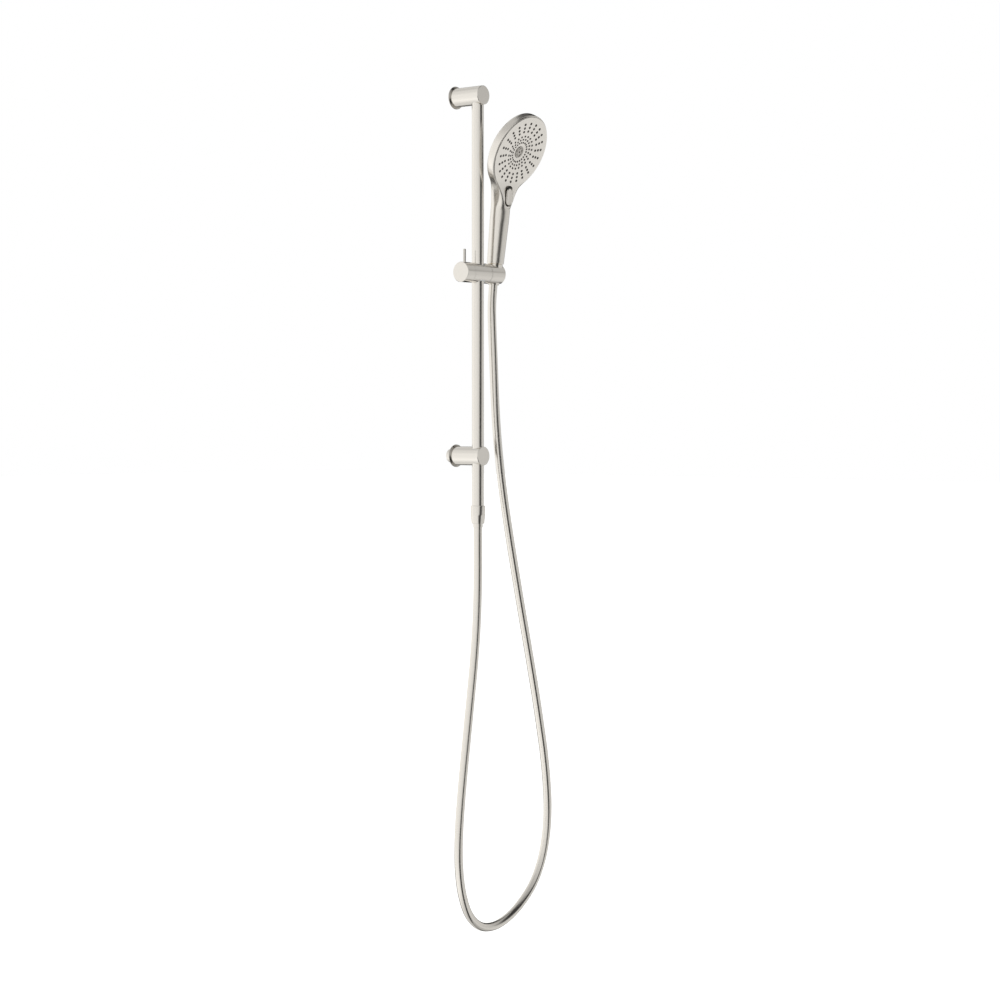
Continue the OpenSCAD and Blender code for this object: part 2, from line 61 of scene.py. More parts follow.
eye = Vector((-2.8646, -2.4956, 0.0520))
aim = Vector((0.0226, -0.0730, -0.0700))
lens = bpy.data.cameras.new("camera")
lens.lens = 85.36
lens.sensor_width = 36
lens.clip_end = 200
camera = bpy.data.objects.new("camera", lens)
camera.location = eye
camera.rotation_euler = (aim - eye).to_track_quat("-Z", "Y").to_euler()
bpy.context.scene.collection.objects.link(camera)
bpy.context.scene.camera = camera

# ---- Axes, as in the CAD ----

RAIL_Y = -46
SLIDER_Z = 290
SEAT_X = 40.5
SEAT_LEAN = 7           # degrees that the holder's seat leans forwards
HAND_TURN = 4           # degrees that the handset is turned in its seat


def shift(x, y, z):
    return Matrix.Translation((x, y, z))


def turn(degrees, axis):
    return Matrix.Rotation(math.radians(degrees), 4, axis)


IN_SEAT = shift(SEAT_X, RAIL_Y, SLIDER_Z) @ turn(SEAT_LEAN, "X")
IN_HAND = IN_SEAT @ turn(HAND_TURN, "Z")

# ---- Mesh helpers ----


def add_object(name, points, faces, place=Matrix.Identity(4), merge=0.0):
    """Makes a mesh object from points in millimetres in the frame of place."""
    m = np.array(place)
    p = np.asarray(points, float).reshape(-1, 3) @ m[:3, :3].T + m[:3, 3]
    mesh = bpy.data.meshes.new(name)
    mesh.from_pydata((p * MM).tolist(), [], faces)
    if merge:
        b = bmesh.new()
        b.from_mesh(mesh)
        bmesh.ops.remove_doubles(b, verts=b.verts, dist=merge * MM)
        bmesh.ops.dissolve_degenerate(b, edges=b.edges, dist=1e-7)
        b.to_mesh(mesh)
        b.free()
    obj = bpy.data.objects.new(name, mesh)
    bpy.context.scene.collection.objects.link(obj)
    return obj


def grid_faces(rows, cols, closed=False, first=0):
    """Faces between rows of points. Where it is closed, each row joins its own start."""
    faces = []
    for i in range(rows - 1):
        for j in range(cols if closed else cols - 1):
            n = (j + 1) % cols
            faces.append((first + i * cols + j, first + i * cols + n,
                          first + (i + 1) * cols + n, first + (i + 1) * cols + j))
    return faces


def face_alike(obj):
    """Turns the faces that lie next to each other to the same side."""
    b = bmesh.new()
    b.from_mesh(obj.data)
    bmesh.ops.recalc_face_normals(b, faces=b.faces)
    b.to_mesh(obj.data)
    b.free()


def face_towards(obj, direction):
    """Flips the faces of an open sheet if most of them look away from direction."""
    total = Vector()
    for f in obj.data.polygons:
        total += f.normal * f.area
    if total.dot(direction) < 0:
        obj.data.flip_normals()


def face_outwards(obj):
    """Flips the faces if most of them look towards the middle."""
    v = np.array([x.co for x in obj.data.vertices])
    middle = Vector(v.mean(0))
    if sum(f.normal.dot(f.center - middle) * f.area for f in obj.data.polygons) < 0:
        obj.data.flip_normals()


def bake(obj, sharp=38):
    """Applies the modifiers and shades smooth up to an angle."""
    graph = bpy.context.evaluated_depsgraph_get()
    mesh = bpy.data.meshes.new_from_object(obj.evaluated_get(graph))
    obj.modifiers.clear()
    old = obj.data
    obj.data = mesh
    bpy.data.meshes.remove(old)
    shade(obj, sharp)
    return obj


def shade(obj, sharp=38):
    """Shades smooth, apart from the edges that turn by more than an angle."""
    mesh = obj.data
    b = bmesh.new()
    b.from_mesh(mesh)
    limit = math.radians(sharp)
    for f in b.faces:
        f.smooth = True
    for e in b.edges:
        e.smooth = not (len(e.link_faces) == 2 and e.calc_face_angle(0) > limit)
    b.to_mesh(mesh)
    b.free()


def bevel(obj, width, angle=40, segments=2):
    """Rounds the edges that turn by more than an angle, to a width in millimetres."""
    m = obj.modifiers.new("bevel", "BEVEL")
    m.width = width * MM
    m.segments = segments
    m.limit_method = "ANGLE"
    m.angle_limit = math.radians(angle)
    return m


def lathe(name, profile, place, steps=96):
    """A solid of revolution about local Z from pairs of radius and height, closed on itself."""
    count = len(profile)
    points = []
    for i in range(steps):
        a = 2 * math.pi * i / steps
        points += [(r * math.cos(a), r * math.sin(a), z) for r, z in profile]
    faces = []
    for i in range(steps):
        k = (i + 1) % steps
        for j in range(count):
            n = (j + 1) % count
            faces.append((i * count + j, k * count + j, k * count + n, i * count + n))
    obj = add_object(name, points, faces, place, merge=0.001)
    face_alike(obj)
    return obj


def smooth(t):
    """Eases from 0 to 1."""
    c = np.clip(t, 0, 1)
    return c * c * (3 - 2 * c)


def mix(a, b, t):
    """The value a share t of the way from a to b."""
    return a + (b - a) * t


# ---- Handset: the same loft as the CAD, with finer stations ----

HEAD_R = 62.5
HEAD_T = 20
FACE_ANGLE = math.radians(20)
FACE_V = 30.6
FACE_W = 194.2
BEND_TOP = -45
BEND_LOW = -95
BEND_R = (BEND_TOP - BEND_LOW) / FACE_ANGLE
NECK_R = 48
RIM_MID = -8
GRIP_R = 15.5
BASE_R = 13.5
HANDLE_LOW = 17
HANDLE_HIGH = 85
FLATTEN_LOW = -85       # where the front begins to sink to the head's flat front
FLATTEN_OVER = 40
ROUND = 2               # exponent of a round section
HEAD_FRONT = 9          # exponents of the head's flatter section
HEAD_BACK = 4.5
CORNER_V = FACE_V + BEND_TOP * math.sin(FACE_ANGLE)
CORNER_W = FACE_W + BEND_TOP * math.cos(FACE_ANGLE)
GRIP_V = CORNER_V - BEND_R * (1 - math.cos(FACE_ANGLE))
GRIP_W = CORNER_W - BEND_R * math.sin(FACE_ANGLE)
NECK_S = -math.sqrt((HEAD_R + NECK_R) ** 2 - (GRIP_R + NECK_R) ** 2)
HEAD_S = NECK_S * HEAD_R / (HEAD_R + NECK_R)
HANDLE_S = BEND_LOW + HANDLE_LOW - GRIP_W


def line_at(s):
    """Angle, forward distance and height of the body's line at s (an array)."""
    s = np.asarray(s, float)
    a = FACE_ANGLE * np.clip((s - BEND_LOW) / (BEND_TOP - BEND_LOW), 0, 1)
    v = np.where(s >= BEND_TOP, FACE_V + s * math.sin(FACE_ANGLE),
                 np.where(s >= BEND_LOW, CORNER_V - BEND_R * (np.cos(a) - math.cos(FACE_ANGLE)), GRIP_V))
    w = np.where(s >= BEND_TOP, FACE_W + s * math.cos(FACE_ANGLE),
                 np.where(s >= BEND_LOW, CORNER_W - BEND_R * (math.sin(FACE_ANGLE) - np.sin(a)),
                          GRIP_W + s - BEND_LOW))
    return a, v, w


def placed(u, s, h):
    """Points at u across, s along the body's line and h in front of it."""
    u, s, h = np.broadcast_arrays(np.asarray(u, float), np.asarray(s, float), np.asarray(h, float))
    a, v, w = line_at(s)
    return np.stack([u, -(v + h * np.cos(a)), w - h * np.sin(a)], -1)


def on_flat(u, s, h):
    """Like placed, but on the plane of the spray face wherever s is."""
    u, s, h = np.broadcast_arrays(np.asarray(u, float), np.asarray(s, float), np.asarray(h, float))
    c, d = math.cos(FACE_ANGLE), math.sin(FACE_ANGLE)
    return np.stack([u, -(FACE_V + s * d + h * c), FACE_W + s * c - h * d], -1)


def grip_at(s):
    """Radius of the handle at s."""
    w = line_at(s)[2]
    return BASE_R + (GRIP_R - BASE_R) * np.clip((w - HANDLE_LOW) / (HANDLE_HIGH - HANDLE_LOW), 0, 1)


def half_width(s):
    """Half width of the body at s: the round head, the neck's hollow curve, then the handle."""
    s = np.asarray(s, float)
    head = np.sqrt(np.maximum(0, HEAD_R ** 2 - s * s))
    neck = GRIP_R + NECK_R - np.sqrt(np.maximum(0, NECK_R ** 2 - np.minimum(0, NECK_S - s) ** 2))
    return np.where(s >= HEAD_S, head, np.where(s >= NECK_S, neck, grip_at(s)))


def section_of(s):
    """Front, back and widest heights of the section at s, and its two exponents."""
    t = smooth((s - BEND_LOW) / (BEND_TOP - BEND_LOW))
    r = grip_at(s)
    front = (r - GRIP_V) * (1 - smooth((s - FLATTEN_LOW) / FLATTEN_OVER))
    return (front, mix(-GRIP_V - r, -HEAD_T, t), mix(-GRIP_V, RIM_MID, t),
            mix(ROUND, HEAD_FRONT, t), mix(ROUND, HEAD_BACK, t))


PANEL_R = 60.5
TONGUE_TIP = -92.6
TONGUE_END = 22
TONGUE_MARGIN = 3.2
TONGUE_TOP = -30         # above this the tongue's sides run straight on inside the disc


def outline(s, gap):
    """Half width of the front panel at s, grown by gap."""
    s = np.asarray(s, float)
    low = np.minimum(s, TONGUE_TOP)
    edge = half_width(low) - TONGUE_MARGIN + gap
    down = np.maximum(0, TONGUE_TIP - gap + TONGUE_END - low)
    tongue = edge * np.sqrt(np.maximum(0, 1 - (down / TONGUE_END) ** 2))
    disc = np.sqrt(np.maximum(0, (PANEL_R + gap) ** 2 - s * s))
    return np.maximum(tongue, disc)


def half_curve(s, width, opening, count):
    """Right half of the section from the opening's edge round to the back, evenly spaced."""
    front, back, mid, front_n, back_n = (float(x) for x in section_of(s))

    def quarter(n):
        p = max(1.0, n / 2)
        x = np.linspace(0, 1, 500)
        return math.pi / 2 * x ** p / (x ** p + (1 - x) ** p)

    a = np.concatenate([quarter(front_n), (math.pi - quarter(back_n)[::-1])[1:]])
    a0 = math.asin(min(1, (opening / width) ** (front_n / 2))) if opening > 0 else 0.0
    a = np.concatenate([[a0], a[a > a0 + 1e-9]])
    n = np.where(a < math.pi / 2, front_n, back_n)
    reach = np.where(a < math.pi / 2, front - mid, back - mid)
    u = width * np.abs(np.sin(a)) ** (2 / n)
    h = mid + reach * np.abs(np.cos(a)) ** (2 / n)
    u[-1] = 0
    gone = np.concatenate([[0], np.cumsum(np.hypot(np.diff(u), np.diff(h)))])
    at = np.linspace(0, gone[-1], count)
    return np.interp(at, gone, u), np.interp(at, gone, h)


HALF = 84               # points on each half of a section
SEAM = 0.22
SHELL_WALL = 2.1
PANEL_WALL = 0.75
FAN_STEPS = 96


def body_shell():
    """Head, neck and handle in one shell, with an opening for the front panel."""
    tip = TONGUE_TIP - SEAM
    stations = np.concatenate([
        np.linspace(HANDLE_S, tip - 0.6, 36),
        tip + TONGUE_END * (1 - np.cos(np.linspace(0, math.pi / 2, 28))),
        np.linspace(-69.6, -40, 34), np.linspace(-39, 0, 24)])
    rows = []
    for s in stations:
        width = float(half_width(s))
        opening = float(outline(s, SEAM)) if s > tip else 0.0
        u, h = half_curve(s, width, opening, HALF)
        rows.append(np.concatenate([placed(u, s, h), placed(-u[-2::-1], s, h[-2::-1])]))
    points = np.concatenate(rows)
    faces = grid_faces(len(stations), 2 * HALF - 1)
    u, h = half_curve(0.0, HEAD_R, PANEL_R + SEAM, HALF)
    # The upper half of the head is its middle section, turned about the head's axis
    fan = [placed(u * math.cos(a), u * math.sin(a), h)
           for a in np.linspace(0, math.pi, FAN_STEPS + 1)]
    faces += grid_faces(FAN_STEPS + 1, HALF, first=len(points))
    obj = add_object("handset_shell", np.concatenate([points] + fan), faces, IN_HAND, merge=0.004)
    face_alike(obj)
    face_outwards(obj)
    wall = obj.modifiers.new("wall", "SOLIDIFY")
    wall.thickness = SHELL_WALL * MM
    wall.offset = -1
    bevel(obj, 0.22, 50)
    bake(obj, 45)
    return obj


# The dished plate, as radius and height
DISH = [(9.7, -4), (16, -3.1), (27, -1.4), (36, -0.7), (43, -0.3), (52, 0), (60.5, 0)]
EDGE = 0.28             # radius of the panel's rounded edge
RECESS = 0.4            # how far the panel lies below the rim round it
SPOKES = 22
PER_CELL = 8            # steps of the grid to one nozzle
POSITIONS = SPOKES * PER_CELL
# Each ring of nozzles: its radius, the nozzles' radius and its turn in steps of the grid
RINGS = [(49.1, 1.9, 0), (42.6, 1.85, 0), (36.2, 1.8, 0), (27.3, 1.5, 2), (21.8, 1.4, 4), (16.3, 1.3, 6)]
BOUNDS = [52.4, 45.85, 39.4, 31.75, 24.55, 19.05, 13.4]      # radii between the rings
HOLE_GAP = 0.3
TONGUE_HALF = 38.9      # degrees to each side where the rim opens into the tongue
SLOT_LOW = 118
SLOT_HIGH = 131.6
SLOT_R = 9.9
WELL_SIDES = 64
PHASE = -2.5            # turn of the whole pattern, in steps of the grid round the disc


def dish_at(r):
    """Height of the dished plate at a radius, with its corners eased."""
    r = np.asarray(r, float)
    radii, heights = zip(*DISH)
    return np.mean([np.interp(r + d, radii, heights) for d in np.linspace(-1.6, 1.6, 9)], 0)


def edge_drop(u, s):
    """How far the panel's front falls away near its outline, which is rounded over."""
    side = np.concatenate([TONGUE_TIP + SEAM + TONGUE_END * (1 - np.cos(np.linspace(0, 1.5, 200))),
                           np.linspace(-70, 0, 200),
                           (PANEL_R - SEAM) * np.sin(np.linspace(0, math.pi / 2, 400))])
    wide = outline(side, -SEAM)
    lines = np.stack([wide, side], -1)
    d = np.array([np.hypot(lines[:, 0] - a, lines[:, 1] - b).min() for a, b in
                  zip(np.abs(np.ravel(u)), np.ravel(s))]).reshape(np.shape(u))
    x = np.clip(1 - d / EDGE, 0, 1)
    return -EDGE * (1 - np.sqrt(1 - x * x * 0.97))


def panel_point(u, s, drop):
    """A point of the panel's front: flat over the head, then the body's own crowned tongue."""
    u = np.asarray(u, float)
    s = np.asarray(s, float)
    front, _, mid, n, _ = section_of(s)
    part = np.clip(np.abs(u) / np.maximum(half_width(np.maximum(s, HANDLE_S)), 1e-6), 0, 1)
    crown = mid + (front - mid) * np.maximum(0, 1 - part ** n) ** (1 / n)
    drop = drop - RECESS
    q = smooth((-s - 44) / 10)[..., None]
    return mix(on_flat(u, s, drop), placed(u, s, crown + drop), q)


def polar(r, a):
    """u and s of a point of the disc, where angle 0 is to the right and a grows upwards."""
    return r * np.cos(a), r * np.sin(a)


def nozzle_angle(k, shift_steps):
    """Angle of a ring's nozzle k, where the ring is turned by steps of the grid."""
    return 2 * math.pi * (k / SPOKES + (shift_steps + PHASE) / POSITIONS)


def front_panel():
    """The plate with its holes, the rim and the tongue that runs down the handle."""
    points, faces = [], []

    def put(p):
        points.append(np.asarray(p).reshape(-1, 3))
        return sum(len(x) for x in points[:-1])

    # Cells round the nozzles, each with a round hole
    half_a = math.pi / SPOKES
    square = []
    for side in range(4):
        for i in range(PER_CELL):
            f = 2 * i / PER_CELL - 1
            square.append([(f, -1), (1, f), (-f, 1), (-1, -f)][side])
    square = np.array(square, float)
    start = math.atan2(-1, -1)
    circle = start + 2 * math.pi * np.arange(4 * PER_CELL) / (4 * PER_CELL)
    for (radius, hole, twist), outer, inner in zip(RINGS, BOUNDS[:-1], BOUNDS[1:]):
        for k in range(SPOKES):
            middle = nozzle_angle(k, twist)
            edge_r = np.where(square[:, 1] > 0, mix(radius, outer, square[:, 1]),
                              mix(radius, inner, -square[:, 1]))
            side_r = mix(inner, outer, (square[:, 1] + 1) / 2)
            edge_r = np.where(np.abs(square[:, 1]) < 1, side_r, edge_r)
            edge_a = middle + half_a * square[:, 0]
            hole_r = hole + HOLE_GAP
            cu = radius + hole_r * np.sin(circle)
            ca = hole_r * np.cos(circle)
            mid_r = np.hypot(cu, ca)
            mid_a = middle + np.arctan2(ca, cu)
            first = None
            layers = [0, 0.16, 0.5, 1]
            for f in layers:
                r = mix(mid_r, edge_r, f)
                a = mix(mid_a, edge_a, f)
                u, s = polar(r, a)
                at = put(panel_point(u, s, dish_at(r)))
                first = at if first is None else first
            faces.extend(grid_faces(len(layers), 4 * PER_CELL, True, first))
    turned = half_a + 2 * math.pi * PHASE / POSITIONS
    angles = turned + 2 * math.pi * np.arange(POSITIONS) / POSITIONS
    # Plain rings inside the nozzles
    inner = [BOUNDS[-1], 12.2, 11.0, 10.2, 9.75]
    first = None
    for r in inner:
        u, s = polar(r, angles)
        at = put(panel_point(u, s, dish_at(np.full(POSITIONS, r))))
        first = at if first is None else first
    faces.extend(grid_faces(len(inner), POSITIONS, True, first))
    # Rim outside them, open where the tongue begins
    rim = [BOUNDS[0], 54.4, 56.6, 58.4, 59.4, 59.8, 59.92, 60.02, 60.12, 60.2, PANEL_R - SEAM]
    steps = 2 * math.pi / POSITIONS
    half_steps = round(math.radians(TONGUE_HALF) / steps)
    bottom = round((1.5 * math.pi - turned) / steps)
    first_open = bottom - half_steps
    around = [(bottom + half_steps + i) % POSITIONS for i in range(POSITIONS - 2 * half_steps + 1)]
    first = None
    for r in rim:
        u, s = polar(r, angles[around])
        at = put(panel_point(u, s, dish_at(np.full(len(around), r)) + edge_drop(u, s)))
        first = at if first is None else first
    faces.extend(grid_faces(len(rim), len(around), False, first))
    # Tongue: its first row follows the disc, the others run across the handle
    arc = angles[[(first_open + i) % POSITIONS for i in range(2 * half_steps + 1)]]
    top_u, top_s = [], []
    for r in rim[:0:-1]:
        u, s = polar(r, arc[0])
        top_u.append(u)
        top_s.append(s)
    u, s = polar(rim[0], arc)
    top_u += list(u)
    top_s += list(s)
    for r in rim[1:]:
        u, s = polar(r, arc[-1])
        top_u.append(u)
        top_s.append(s)
    top_u, top_s = np.array(top_u), np.array(top_s)
    tip = TONGUE_TIP + SEAM
    share = top_u / np.where(top_u < 0, abs(top_u[0]), abs(top_u[-1]))
    levels = [top_s] + [mix(top_s, -58, k / 6) for k in range(1, 7)]
    straight = np.linspace(-59.2, -70.4, 12)
    rounding = tip + TONGUE_END * (1 - np.cos(np.linspace(math.pi / 2, 0, 34)))[1:]
    levels += [np.full(len(top_s), s) for s in np.concatenate([straight, rounding])]
    rounded = len(rim) - 1
    from_edge = PANEL_R - SEAM - np.array(rim[:0:-1])
    first = None
    for i, level in enumerate(levels):
        wide = outline(level, -SEAM)
        u = top_u if i == 0 else wide * share
        if i > 0:
            # Columns near the edges keep their distance from it
            keep = smooth(i / 6)
            near = wide[0] - from_edge * np.minimum(1, wide[0] / 8)
            inner_edge = near[-1]
            own = u.copy()
            own[:rounded] = -near
            own[-rounded:] = near[::-1]
            body = slice(rounded, len(u) - rounded)
            own[body] = share[body] / abs(share[rounded]) * inner_edge * 0.985
            u = mix(u, own, keep)
        at = put(panel_point(u, level, edge_drop(u, level)))
        first = at if first is None else first
    faces.extend(grid_faces(len(levels), len(top_s), False, first))
    obj = add_object("front_panel", np.concatenate(points), faces, IN_HAND, merge=0.01)
    face_alike(obj)
    face_towards(obj, Vector(IN_HAND.to_3x3() @ Vector((0, -1, 0))))
    wall = obj.modifiers.new("wall", "SOLIDIFY")
    wall.thickness = PANEL_WALL * MM
    wall.offset = -1
    cutter = stadium_rings("slot_cutter", SLOT_LOW, SLOT_HIGH, [(SLOT_R, 5), (SLOT_R, 25)])
    cut = obj.modifiers.new("slot", "BOOLEAN")
    cut.operation = "DIFFERENCE"
    cut.object = cutter
    cut.solver = "EXACT"
    bevel(obj, 0.2, 50)
    bake(obj, 40)
    bpy.data.objects.remove(cutter)
    return obj


def stadium_rings(name, low, high, rings, cap=True, sides=64):
    """A solid with a stadium outline. Each ring gives its end radius, its forward distance and,
    where the upper end isn't in line with the rest, how far that end is moved up."""
    points, faces = [], []
    half = sides // 2
    for r, v, *lift in rings:
        for i in range(sides):
            top = i < half
            a = math.pi * (i if top else i - half) / (half - 1) + (0 if top else math.pi)
            middle = high + sum(lift) if top else low
            points.append((r * math.cos(a), -v, middle + r * math.sin(a)))
    faces = grid_faces(len(rings), sides, True)
    if cap:
        faces.append(tuple(range(sides)))
        last = (len(rings) - 1) * sides
        faces.append(tuple(last + i for i in range(sides - 1, -1, -1)))
    obj = add_object(name, points, faces, IN_HAND)
    face_alike(obj)
    return obj


def nozzles():
    """The tips in the plate's holes, the jet in the middle and the mat behind them."""
    points, faces = [], []
    sides = 20
    around = 96
    mat_depth = 1.55
    normal = on_flat(0, 0, 1) - on_flat(0, 0, 0)
    across = np.array([1.0, 0, 0])
    up = on_flat(0, 1, 0) - on_flat(0, 0, 0)
    for radius, r, twist in RINGS:
        shape = [(r, -1.7), (r, 0.25), (0.92 * r, 0.42), (0.74 * r, 0.5), (0.46 * r, 0.5),
                 (0.38 * r, 0.42), (0.36 * r, 0.0)]
        for k in range(SPOKES):
            u, s = polar(radius, nozzle_angle(k, twist))
            middle = panel_point(u, s, float(dish_at(radius)))
            first = len(points)
            for q, h in shape:
                for i in range(sides):
                    a = 2 * math.pi * i / sides
                    points.append(middle + q * math.cos(a) * across + q * math.sin(a) * up + h * normal)
            faces += grid_faces(len(shape), sides, True, first)
            last = first + (len(shape) - 1) * sides
            faces.append(tuple(last + i for i in range(sides)))
    # The jet in the middle of the insert
    first = len(points)
    shape = [(1.5, -4.6), (1.5, -3.4), (1.2, -3.15), (0.5, -3.15), (0.4, -3.6)]
    for q, h in shape:
        for i in range(sides):
            a = 2 * math.pi * i / sides
            points.append(on_flat(0, 0, 0) + q * math.cos(a) * across + q * math.sin(a) * up + h * normal)
    faces += grid_faces(len(shape), sides, True, first)
    faces.append(tuple(first + (len(shape) - 1) * sides + i for i in range(sides)))
    # The mat
    first = len(points)
    rows = [53.0, 45, 36, 27, 18, 11]
    for r in rows:
        for i in range(around):
            u, s = polar(r, 2 * math.pi * i / around)
            points.append(on_flat(u, s, float(dish_at(r)) - mat_depth))
    faces += grid_faces(len(rows), around, True, first)
    obj = add_object("nozzle_tips", points, faces, IN_HAND)
    shade(obj, 50)
    return obj


KEY_LOW = 117.4
KEY_HIGH = 131.2
KEY_R = 6.4
KEY_BACK = 12.7
KEY_TRAVEL = 2
VALVE_R = 8
VALVE_W = 124


def button():
    """The selector's key, with a crowned front."""
    obj = stadium_rings("selector_key", KEY_LOW, KEY_HIGH, [
        (KEY_R, KEY_BACK), (KEY_R, 14.6), (6.28, 15.05), (6.0, 15.4), (5.6, 15.6), (4.8, 15.65),
        (3.6, 15.5), (2.2, 15.3), (0.8, 15.2)])
    shade(obj, 50)
    return obj


def button_well():
    """The slot's lining: a sloping side that shows, then the well below it and its floor."""
    inside, floor_at, lift = SLOT_R - 2, 10.4, 2
    rings = [(SLOT_R + 0.05, 14.95), (inside, 13.2, lift), (inside, floor_at, lift), (5.0, floor_at)]
    obj = stadium_rings("selector_well", SLOT_LOW, SLOT_HIGH, rings, cap=False, sides=WELL_SIDES)
    face_towards(obj, Vector((0, -1, 0)))
    shade(obj, 50)
    return obj


def key_stem():
    """The stem between the button and the valve."""
    radius, top = 2.95, KEY_BACK + 0.2
    profile = [(0, 0), (2.7, 0), (radius, 0.3), (radius, top), (0, top)]
    return lathe("selector_stem", profile, IN_HAND @ shift(0, 0, VALVE_W) @ turn(90, "X"), steps=40)


def coil_spring():
    """The spring behind the key, and the share of its length that is left when it is pressed."""
    turns, radius, wire = 3.5, 4, 0.45
    steps, sides = 126, 10
    rise = KEY_BACK - VALVE_R - 2 * wire - 0.2
    points = []
    for i in range(steps + 1):
        a = 2 * math.pi * turns * i / steps
        for k in range(sides):
            b = 2 * math.pi * k / sides
            r = radius + wire * math.cos(b)
            points.append((r * math.cos(a), r * math.sin(a), rise * i / steps + wire * math.sin(b)))
    faces = grid_faces(steps + 1, sides, True)
    faces += [tuple(range(sides)), tuple(steps * sides + k for k in range(sides - 1, -1, -1))]
    obj = add_object("coil_spring", points, faces,
                     IN_HAND @ shift(0, -VALVE_R - wire - 0.1, VALVE_W) @ turn(90, "X"))
    face_alike(obj)
    shade(obj, 60)
    return obj, 1 - KEY_TRAVEL / (rise + 2 * wire)


# ---- Hose ----

# The middle of the hose, from the nut under the rail to the handset's ferrule
HOSE_END = 14           # how far below the seat's middle it ends
ROUTE = [
    (0, -46, -113.5), (0, -46, -140), (0, -46, -180), (-1, -46, -225), (-4, -46, -275),
    (-10, -46, -330), (-18, -46, -385), (-27, -46, -445), (-36, -46, -505), (-43, -46, -560),
    (-47, -46, -610), (-46, -46, -655), (-38, -46, -697), (-21, -46, -732), (6, -46, -753),
    (40, -46, -758), (76, -46, -749), (110, -46, -730), (140, -46, -703), (161, -46, -668),
    (173, -46, -627), (177, -46, -583), (174, -46, -537), (167, -46, -490), (157, -46, -443),
    (146, -46, -395), (134, -46, -347), (121, -46, -297), (107, -46, -244), (93, -46, -189),
    (79, -46, -133), (66, -46, -76), (55, -46, -20), (47, -46, 36), (42, -46, 92),
    (40.5, -44.5, 146), (40.5, -42, 196), (40.5, -41, 238),
    (SEAT_X, RAIL_Y + HOSE_END * math.sin(math.radians(SEAT_LEAN)),
     SLIDER_Z - HOSE_END * math.cos(math.radians(SEAT_LEAN)))]
HOSE_R = 6.8
FINE = 8                # steps between two of the route's points


def hose_line():
    """A smooth line through the route, and its directions."""
    p = np.array(ROUTE, float)
    headings = [np.array([0, 0, -1.0])]
    for i in range(1, len(p) - 1):
        d = p[i + 1] - p[i - 1]
        headings.append(d / np.linalg.norm(d))
    headings.append(np.array([0, -math.sin(math.radians(SEAT_LEAN)), math.cos(math.radians(SEAT_LEAN))]))
    line = []
    for i in range(len(p) - 1):
        d = np.linalg.norm(p[i + 1] - p[i])
        for k in range(FINE + (i == len(p) - 2)):
            t = k / FINE
            line.append((2 * t ** 3 - 3 * t * t + 1) * p[i] + (t ** 3 - 2 * t * t + t) * d * headings[i]
                        + (3 * t * t - 2 * t ** 3) * p[i + 1] + (t ** 3 - t * t) * d * headings[i + 1])
    line = np.array(line)
    ways = np.gradient(line, axis=0)
    ways[0] = headings[0]
    ways[-1] = headings[-1]
    return line, ways / np.linalg.norm(ways, axis=1)[:, None]


LINE, WAYS = hose_line()


def hose_piece(name, first, last, sides=40):
    """The stretch between two of the route's numbered points, which may be fractions."""
    a, b = round(first * FINE), round(last * FINE)
    line, ways = LINE[a:b + 1], WAYS[a:b + 1]
    points = []
    for p, t in zip(line, ways):
        side = np.cross(t, (0, 1, 0))
        side /= np.linalg.norm(side)
        up = np.cross(side, t)
        for k in range(sides):
            q = 2 * math.pi * k / sides
            points.append(p + HOSE_R * (math.cos(q) * side + math.sin(q) * up))
    obj = add_object(name, points, grid_faces(len(line), sides, True))
    for f in obj.data.polygons:
        f.use_smooth = True
    first_face = obj.data.polygons[0]
    if first_face.normal.dot(first_face.center - Vector(line[0] * MM)) < 0:
        obj.data.flip_normals()
    gone = np.concatenate([[0], np.cumsum(np.linalg.norm(np.diff(LINE, axis=0), axis=1))]) * MM
    return obj, (line * MM).tolist(), float(gone[b] - gone[a])


# ---- Materials ----


def new_material(name, colour, rough, metal):
    """A material with its node tree and its shader."""
    m = bpy.data.materials.new(name)
    m.use_nodes = True
    t = m.node_tree
    s = t.nodes["Principled BSDF"]
    s.inputs["Base Color"].default_value = (*colour, 1)
    s.inputs["Metallic"].default_value = metal
    s.inputs["Roughness"].default_value = rough
    m.diffuse_color = (*colour, 1)
    return m, t, s


def satin(name, colour, rough, spread, stretch, bump=0.0, metal=1.0, scale=900):
    """Metal with fine brushed grain: noise drawn out along one axis moves the roughness and tone."""
    m, t, s = new_material(name, colour, rough, metal)
    where = t.nodes.new("ShaderNodeTexCoord")
    scaled = t.nodes.new("ShaderNodeMapping")
    scaled.inputs["Scale"].default_value = stretch
    noise = t.nodes.new("ShaderNodeTexNoise")
    noise.inputs["Scale"].default_value = scale
    noise.inputs["Detail"].default_value = 3
    t.links.new(where.outputs["Object"], scaled.inputs["Vector"])
    t.links.new(scaled.outputs["Vector"], noise.inputs["Vector"])
    ramp = t.nodes.new("ShaderNodeMapRange")
    ramp.inputs["To Min"].default_value = rough - spread
    ramp.inputs["To Max"].default_value = rough + spread
    t.links.new(noise.outputs["Fac"], ramp.inputs["Value"])
    t.links.new(ramp.outputs["Result"], s.inputs["Roughness"])
    tone = t.nodes.new("ShaderNodeMix")
    tone.data_type = "RGBA"
    tone.inputs["A"].default_value = (*[0.965 * c for c in colour], 1)
    tone.inputs["B"].default_value = (*[min(1, 1.03 * c) for c in colour], 1)
    t.links.new(noise.outputs["Fac"], tone.inputs["Factor"])
    t.links.new(tone.outputs["Result"], s.inputs["Base Color"])
    if bump:
        push = t.nodes.new("ShaderNodeBump")
        push.inputs["Strength"].default_value = bump
        push.inputs["Distance"].default_value = 0.00004
        t.links.new(noise.outputs["Fac"], push.inputs["Height"])
        t.links.new(push.outputs["Normal"], s.inputs["Normal"])
    return m


